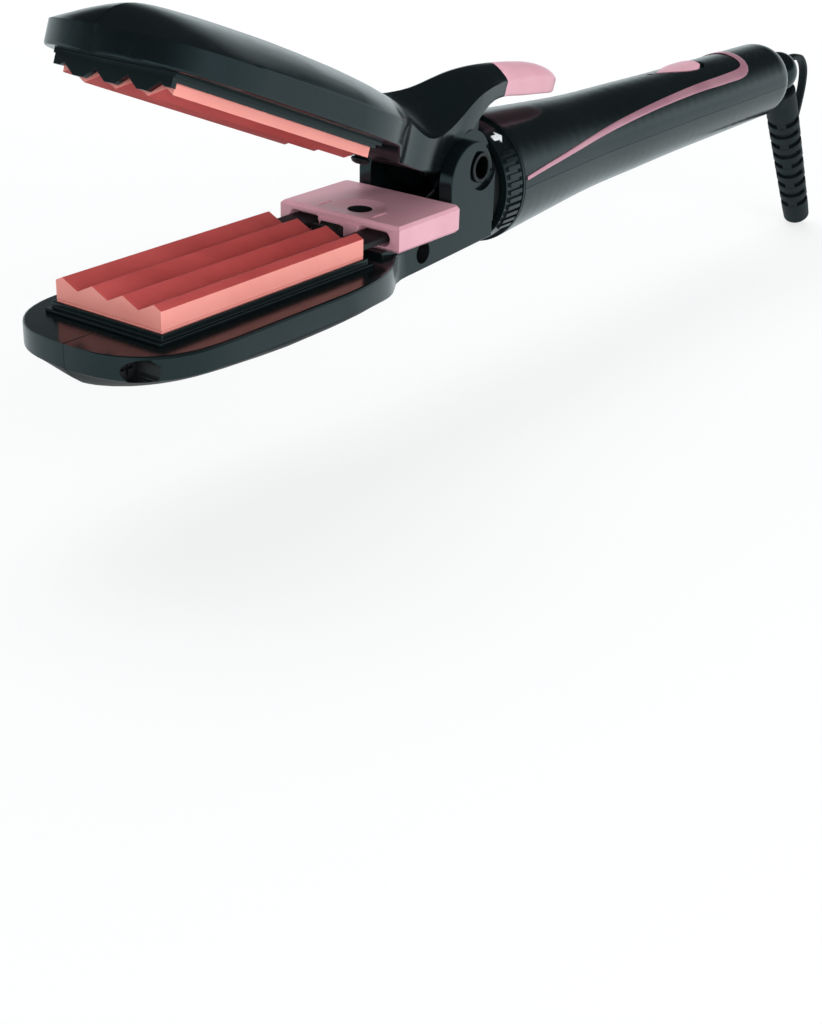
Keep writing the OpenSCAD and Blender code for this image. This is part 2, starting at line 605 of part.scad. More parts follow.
module round_x(x0, x1, r) translate([x0, 0, axis_z]) rotate([0, 90, 0]) cylinder(r = r, h = x1 - x0);
neck_r = collar_r - 0.6;
module head_spigot() color("#101314") difference() {
    union() {
        round_x(arm_rear, neck_end - 0.3, neck_r);
        round_x(arm_rear, spigot_end, spigot_r);
    }
    rotate([90, 0, 0]) cylinder(r = knuckle_r + 0.8, h = 2 * (knuckle_half + 0.3), center = true);
    translate([arm_rear - 1, -knuckle_half - 0.3, -7.4])
        cube([knuckle_r + 1.8 - arm_rear, 2 * (knuckle_half + 0.3), 24]);
    for (s = [-1, 1]) contact_place(s) round_hole(contact_r + 0.02);
}
contact_r = 1.2;
contact_seat = 6;     // length of a contact inside the spigot
pin_reach = 8;
module contact_place(s) translate([0, s * 5, axis_z]) children();
module round_hole(r) translate([spigot_end - contact_seat, 0, 0]) rotate([0, 90, 0])
    cylinder(r = r, h = contact_seat + 2);
module contact_pins() color("#c9a24a") for (s = [-1, 1]) contact_place(s)
    translate([spigot_end - contact_seat + seat_gap, 0, 0]) rotate([0, 90, 0])
        cylinder(r = contact_r, h = contact_seat + pin_reach);

rib_step = 7;
module lock_ring() color("#0f1213") translate([0, 0, axis_z]) rotate([0, 90, 0]) difference() {
    union() {
        translate([0, 0, ring_start]) cylinder(r = handle_front_r - rib_h, h = ring_end - ring_start);
        for (s = [-1, 1]) for (i = [0 : ring_ribs - 1])
            rotate(s * (90 + (i - (ring_ribs - 1) / 2) * rib_step))
                translate([handle_front_r - rib_h - 0.3, -0.6, ring_start + 1.2])
                    cube([rib_h + 0.2, 1.2, ring_end - ring_start - 2.4]);
        translate([0, 0, ring_end - 0.8]) cylinder(r = handle_front_r, h = 0.8);
    }
    translate([0, 0, ring_start - 1]) cylinder(r = collar_r + run_fit, h = ring_end - ring_start + 2);
}
mark_turn = 38;
module ring_index_mark() color("white") translate([0, 0, axis_z]) rotate([mark_turn, 0, 0])
    translate([(ring_start + ring_end) / 2 - 0.6, 0, handle_front_r - rib_h + 0.02]) linear_extrude(0.25)
        polygon([[-1.8, -0.9], [0.6, -0.9], [0.6, -1.8], [2.6, 0], [0.6, 1.8], [0.6, 0.9], [-1.8, 0.9]]);

// ---- handle --------------------------------------------------------------------

cap_l = 13;
handle_rows = [[handle_start, handle_front_r], [40, mix(handle_front_r, handle_rear_r, 0.3)],
    [70, mix(handle_front_r, handle_rear_r, 0.66)], [100, mix(handle_front_r, handle_rear_r, 0.79)],
    [130, mix(handle_front_r, handle_rear_r, 0.9)], [160, mix(handle_front_r, handle_rear_r, 0.94)],
    [handle_end - cap_l, handle_rear_r]];
function handle_r(x) = x > handle_end - cap_l
    ? handle_rear_r * quarter((x - handle_end + cap_l) / cap_l, 2.1) : curve(x, handle_rows);
cap_steps = 14;
handle_xs = concat([handle_start], even_xs(handle_start, handle_end - cap_l, 30),
    [for (i = [1 : cap_steps]) handle_end - cap_l + cap_l * sin(90 * i / cap_steps)]);
stem_r = 4.4;
stem_x0 = handle_end - 9;
inner_end = handle_end - cap_l - 1;
hollow_max_r = spigot_r + 0.4;
function hollow_r(x) = min(handle_r(x) - handle_wall, hollow_max_r);
// outline of the shells in X and radius; turned about the handle's axis
module shell_profile() difference() {
    polygon(concat([[neck_end, 0], [neck_end, collar_r], [handle_start, collar_r]],
        [for (x = handle_xs) [x, handle_r(x)]]));
    // bore for the spigot
    translate([neck_end - 1, -1]) square([spigot_end + 0.4 - neck_end + 1, 1 + spigot_r + fit]);
    // hollow for the electrical parts
    polygon(concat([[spigot_end + fit, -1], [spigot_end + fit, hollow_r(spigot_end)]],
        [for (x = even_xs(spigot_end, inner_end, 16)) [x, hollow_r(x)]], [[inner_end, -1]]));
    // bore for the swivel's stem
    translate([inner_end - 1, -1]) square([30, 1 + stem_r + run_fit]);
}
// half of a body turned about the handle's axis: side 1 is the upper, -1 the lower
module turned_half(side) translate([0, 0, axis_z]) rotate([0, 90, 0]) rotate([0, 0, side > 0 ? 90 : -90])
    rotate_extrude(angle = 180) rotate(90) mirror([0, 1]) children();

slider_recess = 1.6;
module leaf(grow = 0, extra = 0) {
    w = slider_half_w + grow;
    x0 = slider_start - 2 * grow;
    xw = slider_start + slider_l - slider_half_w;
    flank = [for (i = [0 : 14]) let (t = i / 14) [x0 + (xw - x0) * t, w * pow(sin(90 * t), 1.1)]];
    polygon(concat(flank, [for (a = [90 : -15 : -90]) [xw + extra + w * cos(a), w * sin(a)]],
        [for (i = [14 : -1 : 1]) [flank[i][0], -flank[i][1]]]));
}
slider_top = axis_z + handle_r(slider_start + slider_l / 2) + 0.5;
slider_floor = slider_top - 0.5 - slider_recess;
slider_crown_r = 14.2;
slider_stem_l = 6.4;
stem_w = 2.2;
module handle_upper_shell() color(black) difference() {
    turned_half(1) shell_profile();
    translate([0, 0, slider_floor]) linear_extrude(10) leaf(0.25, slider_travel);
    stem_slot(8);
    translate([lens_x, 0, -4]) cylinder(r = lens_r + 0.05, h = 20);
}
lens_x = slider_start - 4.6;
lens_r = 0.9;
lens_top = axis_z + handle_r(slider_start) - 0.05;
module indicator_lens() color("#2a1214")
    translate([lens_x, 0, board_z + board_t]) cylinder(r = lens_r, h = lens_top - board_z - board_t);
shell_screw_xs = [60, 172];
module handle_lower_shell() color(black) difference() {
    union() {
        turned_half(-1) shell_profile();
        for (x = shell_screw_xs) translate([x, 0, axis_z - handle_r(x) + 0.8])
            cylinder(r = 3.6, h = handle_r(x) - 2);
    }
    for (x = shell_screw_xs) translate([x, 0, axis_z - handle_r(x) - 1]) {
        cylinder(r = screw_head_r, h = 4);
        cylinder(r = screw_r + 0.05, h = 30);
    }
}
module handle_screws() color(steel) for (x = shell_screw_xs) translate([x, 0, axis_z - handle_r(x) + 3])
    rotate([-90, 0, 0]) rotate([180, 0, 0]) pan_screw(0, handle_r(x) - 2);

board_z = axis_z - 4;
board_x0 = 78;
board_x1 = 160;
board_t = 1.6;
board_half_w = 9;
module control_board() color("#1f5a3a")
    translate([board_x0, -board_half_w, board_z]) cube([board_x1 - board_x0, 2 * board_half_w, board_t]);
block_l = 20;
block_half_w = 4.5;
module stem_slot(depth) translate([slider_start + slider_l * 0.5 - stem_w - 0.3, -stem_w - 0.3,
    slider_floor - depth]) cube([2 * stem_w + 0.6 + slider_travel, 2 * stem_w + 0.6, depth + 2]);
module switch_block() color("#202326") difference() {
    translate([slider_start + 4, -block_half_w, board_z + board_t])
        cube([block_l, 2 * block_half_w, slider_floor - 3.4 - board_z - board_t]);
    stem_slot(7);
}
module power_slider() color(pink) {
    difference() {
        translate([0, 0, slider_floor + 0.1]) linear_extrude(3) leaf();
        // crowned to follow the handle's back
        translate([slider_start - 20, 0, slider_top - slider_crown_r]) rotate([0, 90, 0]) difference() {
            translate([0, 0, -5]) cylinder(r = 2 * slider_crown_r, h = 70);
            translate([0, 0, -6]) cylinder(r = slider_crown_r, h = 72);
        }
    }
    translate([slider_start + slider_l * 0.5 - stem_w, -stem_w, slider_floor - slider_stem_l])
        cube([2 * stem_w, 2 * stem_w, slider_stem_l + 0.2]);
}

socket_gap = 0.5;
socket_l = 9;
module contact_socket() color("#2b2f33") difference() {
    round_x(spigot_end + socket_gap, spigot_end + socket_gap + socket_l, spigot_r - 0.8);
    for (s = [-1, 1]) contact_place(s) translate([spigot_end, 0, 0]) rotate([0, 90, 0])
        cylinder(r = contact_r + run_fit, h = socket_gap + socket_l + 1);
}

// pink band: runs back along each side, climbs, and turns over the top near the rear
band_rows = [[0, 18.6, 8.5, 0.55], [0.16, 45, 16.5, 0.75], [0.34, 75, 27.5, 1], [0.52, 105, 35.5, 1.2],
    [0.68, 133, 40, 1.45], [0.82, 155, 40.5, 1.7], [0.91, 167, 43.5, 1.85], [0.955, 171, 57, 1.9],
    [1, 171.5, 90, 1.8]];
band_steps = 40;
band_under = 0.07;
band_up = 0.3;
function band_s(i) = let (u = i / band_steps) u <= 1 ? 1 - pow(1 - u, 1.4) : 1 + pow(u - 1, 1.4);
function band_angle(s) = s <= 1 ? curve(s, band_rows, 2) : 180 - curve(2 - s, band_rows, 2);
function band_x(s) = curve(s <= 1 ? s : 2 - s, band_rows, 1);
function band_w(s) = curve(s <= 1 ? s : 2 - s, band_rows, 3);
function on_handle(x, a, lift) = let (r = handle_r(x) + lift) [x, -r * cos(a), axis_z + r * sin(a)];
module stripe_inlay() color("#d9a3b2") {
    st = [for (i = [0 : 2 * band_steps]) let (s = band_s(i),
        d = 0.004, x1 = band_x(min(2, s + d)), x0 = band_x(max(0, s - d)),
        r = handle_r(band_x(s)), a1 = band_angle(min(2, s + d)) * r * PI / 180,
        a0 = band_angle(max(0, s - d)) * r * PI / 180, t = unit([x1 - x0, a1 - a0]), w = band_w(s))
        for (k = [[-1, 0], [-0.33, 0], [0.33, 0], [1, 0], [0.94, 1], [0.33, 1], [-0.33, 1], [-0.94, 1]])
            on_handle(band_x(s) - t[1] * w * k[0], band_angle(s) + t[0] * w * k[0] * 180 / PI / r,
                mix(band_under, band_up, k[1]))];
    n = 2 * band_steps + 1;
    m = 8;
    polyhedron(st, concat([[for (k = [0 : m - 1]) k]],
        [for (i = [0 : n - 2]) for (k = [0 : m - 1]) let (a = m * i + k, b = m * i + (k + 1) % m)
            each [[a, a + m, b], [b, a + m, b + m]]],
        [[for (k = [m - 1 : -1 : 0]) m * (n - 1) + k]]));
}

// ---- cord swivel -------------------------------------------------------------

groove_r = 3.2;
retain_x0 = inner_end - 3.6;
module swivel_retainer() color(steel) difference() {
    round_x(retain_x0, retain_x0 + 1.6, 7.4);
    round_x(retain_x0 - 1, retain_x0 + 3, groove_r + run_fit);
    translate([retain_x0 - 1, -groove_r - run_fit, axis_z]) cube([4, 2 * (groove_r + run_fit), 20]);
}
module at_ball() translate([ball_x, 0, axis_z]) children();
module relief_axis() at_ball() rotate([0, 180 - relief_lean, 0]) children();
module swivel_ball() color(black) difference() {
    union() {
        at_ball() sphere(r = ball_r);
        round_x(retain_x0 - 3, ball_x, stem_r);
    }
    difference() {
        round_x(retain_x0 - fit, retain_x0 + 1.6 + fit, 10);
        round_x(retain_x0 - 1, retain_x0 + 3, groove_r);
    }
    relief_axis() cylinder(r = relief_top_r - 1.2, h = 20);
}
rib_room = 20;
module strain_relief() color("#0d0f10") relief_axis() difference() {
    step = (relief_l - rib_room - 7) / relief_ribs;
    rib = step * 0.55;
    slim = 0.75;
    rotate_extrude() polygon(concat([[lead_r, 3], [relief_top_r - 1.25, 3], [relief_top_r - 1.25, ball_r + 0.1],
        [relief_top_r, ball_r + 0.3], [relief_top_r, rib_room]],
        [for (i = [0 : relief_ribs - 1]) let (z = rib_room + i * step,
            r = mix(relief_top_r, relief_end_r, (z - rib_room) / (relief_l - rib_room)))
            each [[r - slim, z + 0.3], [r - slim, z + step - rib - 0.3], [r, z + step - rib], [r, z + step]]],
        [[relief_end_r, relief_l - 1.2], [relief_end_r - 1, relief_l], [lead_r, relief_l]]));
}
loop_w = 3;
loop_t = 2;
// thin strap from the back of the ball, out to the rear and down to the strain relief
loop_rows = [[6.2, 3.2], [13, 3.8], [19, 2.6], [23.2, -1.4], [24.3, -7], [23, -14.5], [20.6, -21.2],
    [17.4, -25.2]];
module hanging_loop() color(black) at_ball() across_y(-loop_w / 2, loop_w / 2)
    difference() {
        union() for (i = [0 : len(loop_rows) - 2]) hull() for (p = [loop_rows[i], loop_rows[i + 1]])
            translate([p[0], -p[1]]) circle(loop_t / 2, $fn = 24);
        circle(ball_r + 0.02, $fn = 96);
        rotate(90 - relief_lean) translate([0, -relief_top_r - 0.03]) square([relief_l, 2 * relief_top_r + 0.06]);
    }

handle_upper_shell();
handle_lower_shell();
stripe_inlay();
indicator_lens();
control_board();
switch_block();
handle_screws();
contact_socket();
swivel_retainer();
lock_ring();
ring_index_mark();
power_slider();
swivel_ball();
strain_relief();
hanging_loop();
lower_case_near();
lower_case_far();
lower_case_screws();
lower_plate_frame();
lower_plate();
lower_heater();
lower_heater_spring();
plate_peg();
latch_post();
head_spigot();
contact_pins();
hinge_pin();
hinge_spring();
upper_case_near();
upper_case_far();
upper_case_screws();
lever_tip();
upper_plate_frame();
upper_plate();
upper_heater();
upper_heater_spring();
upper_peg();
upper_post();
cassette_plate();
cassette_tongues();
cassette_grip();
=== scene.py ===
import json
import math
import bmesh
import bpy
from mathutils import Matrix, Vector


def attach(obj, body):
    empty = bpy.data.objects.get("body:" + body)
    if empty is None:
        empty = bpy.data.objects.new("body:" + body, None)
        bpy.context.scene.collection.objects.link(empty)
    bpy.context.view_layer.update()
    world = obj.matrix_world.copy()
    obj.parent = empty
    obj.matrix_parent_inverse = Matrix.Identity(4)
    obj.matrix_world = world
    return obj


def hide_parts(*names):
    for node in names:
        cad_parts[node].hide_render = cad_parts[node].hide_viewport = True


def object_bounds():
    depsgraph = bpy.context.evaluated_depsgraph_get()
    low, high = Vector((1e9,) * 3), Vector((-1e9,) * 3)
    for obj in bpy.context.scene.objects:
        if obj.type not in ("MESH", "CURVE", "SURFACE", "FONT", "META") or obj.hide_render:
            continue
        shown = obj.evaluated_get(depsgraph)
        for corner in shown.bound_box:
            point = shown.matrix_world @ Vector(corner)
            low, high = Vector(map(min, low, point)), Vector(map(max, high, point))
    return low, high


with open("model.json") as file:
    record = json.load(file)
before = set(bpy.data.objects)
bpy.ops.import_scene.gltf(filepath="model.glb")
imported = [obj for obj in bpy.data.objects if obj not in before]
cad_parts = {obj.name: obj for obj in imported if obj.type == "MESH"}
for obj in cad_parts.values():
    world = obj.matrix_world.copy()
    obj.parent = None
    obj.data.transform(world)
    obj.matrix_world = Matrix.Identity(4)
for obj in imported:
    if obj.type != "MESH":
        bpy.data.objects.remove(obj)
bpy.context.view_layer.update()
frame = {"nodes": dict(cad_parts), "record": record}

print("frame loaded")
mm = 0.001


# shader helpers

class Graph:
    def __init__(self, name):
        self.material = bpy.data.materials.new(name)
        self.material.use_nodes = True
        self.tree = self.material.node_tree
        self.tree.nodes.clear()
        self.output = self.tree.nodes.new("ShaderNodeOutputMaterial")

    def node(self, kind, settings=None, inputs=None):
        made = self.tree.nodes.new(kind)
        for key, value in (settings or {}).items():
            setattr(made, key, value)
        for key, value in (inputs or {}).items():
            self.feed(made.inputs[key], value)
        return made

    def feed(self, socket, value):
        if isinstance(value, Number):
            self.tree.links.new(value.socket, socket)
        elif isinstance(value, bpy.types.NodeSocket):
            self.tree.links.new(value, socket)
        elif isinstance(value, tuple) and len(value) == 3 and socket.type == "RGBA":
            socket.default_value = (*value, 1)
        else:
            socket.default_value = value

    def number(self, socket):
        return Number(self, socket)

    def place(self, scale=(1, 1, 1), turn=(0, 0, 0), shift=(0, 0, 0)):
        coords = self.node("ShaderNodeTexCoord").outputs["Object"]
        return self.node("ShaderNodeMapping", {}, {"Vector": coords, "Location": shift,
            "Rotation": turn, "Scale": scale}).outputs["Vector"]

    def noise(self, size, detail=3, rough=0.5, vector=None):
        made = self.node("ShaderNodeTexNoise", {"noise_dimensions": "3D"}, {
            "Vector": vector or self.place(), "Scale": 1 / size, "Detail": detail,
            "Roughness": rough})
        return self.number(made.outputs["Fac"])

    def spots(self, size, vector=None):
        made = self.node("ShaderNodeTexVoronoi", {"feature": "F1"}, {
            "Vector": vector or self.place(), "Scale": 1 / size})
        return self.number(made.outputs["Distance"])

    def blend(self, amount, low, high):
        made = self.node("ShaderNodeMix", {"data_type": "RGBA"})
        self.feed(made.inputs[0], amount)
        self.feed(made.inputs[6], low)
        self.feed(made.inputs[7], high)
        return made.outputs[2]

    def xyz(self, vector=None):
        made = self.node("ShaderNodeSeparateXYZ", {}, {"Vector": vector or self.place()})
        return [self.number(made.outputs[i]) for i in range(3)]

    def bump(self, height, strength, distance):
        return self.node("ShaderNodeBump", {}, {"Strength": strength, "Distance": distance,
            "Height": height}).outputs["Normal"]

    def surface(self, **inputs):
        shader = self.node("ShaderNodeBsdfPrincipled", {}, {
            key.replace("_", " "): value for key, value in inputs.items()})
        self.tree.links.new(shader.outputs["BSDF"], self.output.inputs["Surface"])
        return self.material


class Number:
    def __init__(self, graph, socket):
        self.graph = graph
        self.socket = socket

    def maths(self, operation, *values, clamp=False):
        made = self.graph.node("ShaderNodeMath", {"operation": operation, "use_clamp": clamp})
        for socket, value in zip(made.inputs, (self, *values)):
            self.graph.feed(socket, value)
        return Number(self.graph, made.outputs[0])

    def __add__(self, other):
        return self.maths("ADD", other)

    __radd__ = __add__

    def __mul__(self, other):
        return self.maths("MULTIPLY", other)

    __rmul__ = __mul__

    def __sub__(self, other):
        return self.maths("SUBTRACT", other)

    def between(self, low, high):
        made = self.graph.node("ShaderNodeMapRange", {"interpolation_type": "SMOOTHSTEP"}, {
            "Value": self, "From Min": low, "From Max": high})
        return Number(self.graph, made.outputs["Result"])


# materials

glossBlack = {"colour": (0.0035, 0.0060, 0.0066), "worn": (0.010, 0.015, 0.016),
              "roughness": 0.17, "mould": 26 * mm, "grain": 0.35 * mm}


def mouldedGloss(name, look):
    g = Graph(name)
    flow = g.noise(look["mould"], 2)
    fine = g.noise(look["grain"], 4)
    wipe = g.noise(3 * mm, 5, 0.65, g.place((1, 1, 0.35), (0.3, 0.2, 0.9)))
    dust = g.spots(1.3 * mm).between(0.05, 0.0)
    rough = look["roughness"] + wipe.between(0.45, 0.8) * 0.06 + fine * 0.02 + dust * 0.12
    colour = g.blend(wipe.between(0.55, 0.8) * 0.5 + dust * 0.25, look["colour"], look["worn"])
    normal = g.bump(flow * 1.0 + fine * 0.02, 0.05, 0.4 * mm)
    # the specular tint colours every reflection teal: painted colour of the reflected surroundings, not of the
    # plastic
    return g.surface(Base_Color=colour, Roughness=rough, Normal=normal, IOR=1.46,
                     Specular_Tint=(0.66, 0.93, 0.97))


satinPink = {"colour": (0.68, 0.36, 0.425), "shade": (0.62, 0.295, 0.365), "roughness": 0.36}


def mouldedPink(name, look):
    g = Graph(name)
    cloud = g.noise(9 * mm, 3)
    fine = g.noise(0.22 * mm, 3)
    scuff = g.noise(1.6 * mm, 5, 0.7, g.place((0.25, 1, 1), (0.1, 0.2, 0.6))).between(0.6, 0.78)
    colour = g.blend(cloud.between(0.35, 0.75) * 0.55, look["colour"], look["shade"])
    colour = g.blend(scuff * 0.18, colour, (0.82, 0.47, 0.53))
    return g.surface(Base_Color=colour, Roughness=look["roughness"] + cloud * 0.08 - scuff * 0.06,
                     Normal=g.bump(fine * 0.6 + cloud * 0.2, 0.16, 0.12 * mm), IOR=1.48,
                     Coat_Weight=0.12, Coat_Roughness=0.25)


coral = {"colour": (0.86, 0.32, 0.275), "deep": (0.78, 0.25, 0.21), "roughness": 0.3}
# the ribbed working faces of the plates: the coral coat darkened to deep red, painted shade of the dark space
# between the open jaws
waves = {"colour": (0.55, 0.095, 0.09), "deep": (0.36, 0.048, 0.046), "roughness": 0.34}


def coatedPlate(name, look):
    g = Graph(name)
    spray = g.noise(0.5 * mm, 4, 0.6)
    cloud = g.noise(14 * mm, 3)
    drawn = g.noise(0.5 * mm, 4, 0.6, g.place((0.012, 1, 1)))
    fleck = g.spots(0.5 * mm).between(0.09, 0.02)
    colour = g.blend(cloud.between(0.3, 0.75) * 0.5 + fleck * 0.05, look["colour"], look["deep"])
    return g.surface(Base_Color=colour, Metallic=0.12, Roughness=look["roughness"] + spray * 0.1 + drawn * 0.06,
                     Normal=g.bump(spray * 0.5 + drawn * 0.5, 0.10, 0.08 * mm), IOR=1.5)


def matteDark(name, colour=(0.0055, 0.0065, 0.007), roughness=0.5, grain=0.3 * mm):
    g = Graph(name)
    fine = g.noise(grain, 4, 0.6)
    cloud = g.noise(6 * mm, 3)
    lighter = tuple(c * 2.2 + 0.004 for c in colour)
    return g.surface(Base_Color=g.blend(cloud.between(0.5, 0.85) * 0.5, colour, lighter),
                     Roughness=roughness + fine * 0.12 - cloud * 0.06,
                     Normal=g.bump(fine + cloud * 0.3, 0.22, 0.1 * mm), IOR=1.47)


def bandMetal(name):
    g = Graph(name)
    brushed = g.noise(0.25 * mm, 4, 0.6, g.place((0.03, 1, 1)))
    cloud = g.noise(16 * mm, 2)
    colour = g.blend(cloud.between(0.3, 0.7) * 0.6, (0.66, 0.33, 0.40), (0.50, 0.20, 0.28))
    return g.surface(Base_Color=colour, Metallic=0.55, Roughness=0.24 + brushed * 0.12,
                     Normal=g.bump(brushed, 0.08, 0.05 * mm))


def plainMetal(name, colour, roughness=0.3, scratch=(0.05, 1, 1)):
    g = Graph(name)
    turned = g.noise(0.3 * mm, 4, 0.6, g.place(scratch))
    stain = g.noise(4 * mm, 3)
    darker = tuple(c * 0.6 for c in colour)
    return g.surface(Base_Color=g.blend(stain.between(0.45, 0.8) * 0.5, colour, darker), Metallic=1.0,
                     Roughness=roughness + turned * 0.14 + stain * 0.05,
                     Normal=g.bump(turned, 0.15, 0.05 * mm))


def rubber(name):
    g = Graph(name)
    fine = g.noise(0.35 * mm, 5, 0.65)
    bloom = g.noise(5 * mm, 4)
    # the specular tint colours the rubber's reflections teal: painted colour of the reflected surroundings
    return g.surface(Base_Color=g.blend(bloom.between(0.45, 0.8) * 0.6, (0.0035, 0.0048, 0.0052),
                                        (0.010, 0.0125, 0.013)),
                     Roughness=0.5 + bloom * 0.14, Normal=g.bump(fine, 0.3, 0.12 * mm), IOR=1.4,
                     Specular_Tint=(0.7, 0.95, 1.0))


def printedWhite(name):
    g = Graph(name)
    worn = g.noise(0.5 * mm, 4, 0.6).between(0.62, 0.75)
    return g.surface(Base_Color=g.blend(worn, (0.78, 0.79, 0.79), (0.35, 0.36, 0.36)), Roughness=0.4 + worn * 0.2)


def circuitBoard(name):
    g = Graph(name)
    tracks = g.noise(2 * mm, 1, 0.2, g.place((1, 0.35, 1))).between(0.49, 0.51)
    return g.surface(Base_Color=g.blend(tracks * 0.7, (0.008, 0.07, 0.03), (0.02, 0.14, 0.06)), Roughness=0.35)


def ceramicWhite(name):
    g = Graph(name)
    cloud = g.noise(1.2 * mm, 4)
    return g.surface(Base_Color=g.blend(cloud, (0.76, 0.74, 0.68), (0.6, 0.57, 0.5)), Roughness=0.7,
                     Normal=g.bump(cloud, 0.2, 0.1 * mm))


materials = {
    "black_gloss": mouldedGloss("moulded gloss black", glossBlack),
    "black_frame": mouldedGloss("gloss black frame", {**glossBlack, "roughness": 0.16}),
    "black_ring": mouldedGloss("gloss black ring", {**glossBlack, "roughness": 0.2, "mould": 8 * mm}),
    "pink_plastic": mouldedPink("satin pink plastic", satinPink),
    "coated_plate": coatedPlate("coral ceramic coat", coral),
    "waves": coatedPlate("deep red ribbed coat", waves),
    "dark_plastic": matteDark("satin black plastic"),
    "pink_band": bandMetal("dusty pink band"),
    "steel": plainMetal("plain steel", (0.56, 0.57, 0.58)),
    "black_pin": plainMetal("blackened steel", (0.05, 0.053, 0.056), 0.35),
    "brass": plainMetal("plain brass", (0.78, 0.56, 0.25)),
    "black_rubber": rubber("black rubber"),
    "white_mark": printedWhite("printed white"),
    "board": circuitBoard("circuit board"),
    "ceramic": ceramicWhite("white ceramic"),
    "lens": matteDark("dark red window", (0.05, 0.006, 0.008), 0.12),
}
print("materials made")


# mesh helpers

def only(thing):
    bpy.ops.object.select_all(action="DESELECT")
    thing.select_set(True)
    bpy.context.view_layer.objects.active = thing


def applyModifier(thing, kind, **settings):
    only(thing)
    made = thing.modifiers.new(kind.title(), kind)
    for key, value in settings.items():
        setattr(made, key, value)
    bpy.ops.object.modifier_apply(modifier=made.name)


def nodeCopy(node, name):
    source = frame["nodes"][node]
    thing = bpy.data.objects.new(name, source.data.copy())
    bpy.context.scene.collection.objects.link(thing)
    only(thing)
    bpy.ops.object.mode_set(mode="EDIT")
    bpy.ops.mesh.select_all(action="SELECT")
    bpy.ops.mesh.remove_doubles(threshold=0.002 * mm)
    if node in seams:
        bpy.ops.mesh.dissolve_limited(angle_limit=math.radians(0.6))
    bpy.ops.object.mode_set(mode="OBJECT")
    return thing


def bevelEdges(thing, pick, width, segments=2, sharp=30):
    only(thing)
    bpy.ops.object.mode_set(mode="EDIT")
    bpy.ops.mesh.select_mode(type="EDGE")
    bpy.ops.mesh.select_all(action="DESELECT")
    mesh = bmesh.from_edit_mesh(thing.data)
    for edge in mesh.edges:
        if len(edge.link_faces) == 2 and edge.calc_face_angle() > math.radians(sharp):
            edge.select_set(pick(edge.verts[0].co / mm, edge.verts[1].co / mm))
    bmesh.update_edit_mesh(thing.data)
    bpy.ops.mesh.bevel(offset=width * mm, segments=segments, affect="EDGES", clamp_overlap=False)
    bpy.ops.object.mode_set(mode="OBJECT")


def paintFaces(thing, slot, pick):
    thing.data.materials.append(materials[slot])
    for face in thing.data.polygons:
        if pick(face.center / mm, face.normal):
            face.material_index = len(thing.data.materials) - 1


def finished(thing, body, slot, nodes, angle=38):
    thing.data.materials.clear()
    thing.data.materials.append(materials[slot])
    only(thing)
    bpy.ops.object.shade_smooth_by_angle(angle=math.radians(angle))
    applyModifier(thing, "WEIGHTED_NORMAL", keep_sharp=True, weight=90)
    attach(thing, body)
    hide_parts(*nodes)
    return thing


# every dressed node: the width of its rounded edges in mm, and the angle from which an edge is sharp
dressing = {
    "handle_upper_shell": (0.22, 40), "handle_lower_shell": (0.22, 40), "stripe_inlay": (0, 50),
    "indicator_lens": (0.2, 40), "lock_ring": (0.18, 40), "ring_index_mark": (0, 40),
    "power_slider": (0.35, 40), "swivel_ball": (0.2, 40), "lower_case_near": (0, 24),
    "lower_case_far": (0, 24),
    "lower_plate_frame": (0.25, 40), "lower_plate": (0.2, 40), "plate_peg": (0.25, 40),
    "latch_post": (0.15, 40), "head_spigot": (0.2, 40), "hinge_pin": (0.25, 40),
    "hinge_spring": (0, 60), "upper_case_near": (0, 26), "upper_case_far": (0, 26),
    "lever_tip": (0, 50), "upper_plate_frame": (0.25, 40), "upper_plate": (0.15, 30),
    "upper_peg": (0.25, 40), "upper_post": (0.15, 40), "cassette_plate": (0.15, 30),
    "cassette_tongues": (0.3, 40), "cassette_grip": (0.8, 40),
    "lower_case_screws": (0.1, 40), "upper_case_screws": (0.1, 40), "handle_screws": (0.1, 40),
}
slots = {part["node"]: part["material_slot"] for part in frame["record"]["subparts"]}
bodyOf = {node: body for body, nodes in frame["record"]["behaviour"]["bodies"].items() for node in nodes}


# where edges and faces of the CAD copies lie, in mm
ear = {"side": 15.4, "front": -16, "rear": 6.1, "eye": 6.6}
screwHoles = ((-26.5, -17.6), (-134, -18.6))
screwHoleRadius = 2.95
keyhole = {"x": -34, "radius": 3.35}
openAngle = math.radians(21)
openAxis = Vector((-math.sin(openAngle), 0, -math.cos(openAngle)))


def onSplit(a, b):
    return abs(a.y) < 0.01 and abs(b.y) < 0.01


def onEar(a, b):
    return (min(abs(a.y), abs(b.y)) > ear["side"] and min(a.x, b.x) > ear["front"] and max(a.x, b.x) < ear["rear"]
            and min(math.hypot(a.x, a.z), math.hypot(b.x, b.z)) > ear["eye"])


def shadedScrewWall(at, normal):
    return abs(normal.y) < 0.3 and any(math.hypot(at.x - x, at.z - z) < screwHoleRadius for x, z in screwHoles)


def shadedKeyholeWall(at, normal):
    return abs(normal.z) < 0.3 and math.hypot(at.x - keyhole["x"], at.y) < keyhole["radius"]


seams = dict.fromkeys(("lower_case_near", "lower_case_far", "upper_case_near", "upper_case_far"), onSplit)
rims = dict.fromkeys(("lower_case_near", "lower_case_far"), onEar)
seamWidth, rimWidth = 0.2, 0.35
# faces drawn darker as painted shade: the ribbed working faces of the plates, and the walls of the screw holes
# and of the grip's keyhole, together with the screws in them, made dark so that the holes read as dark recesses
paintedShade = {"cassette_plate": ("waves", lambda at, normal: normal.z > 0.5),
           "upper_plate": ("waves", lambda at, normal: normal.dot(openAxis) > 0.5),
           "cassette_grip": ("dark_plastic", shadedKeyholeWall),
           "lower_case_near": ("dark_plastic", shadedScrewWall),
           "lower_case_screws": ("dark_plastic", lambda at, normal: True)}


dish = {"x": -34.0, "top": -6.45, "radius": 7.8, "floor": -9.5, "keep": 0.32}


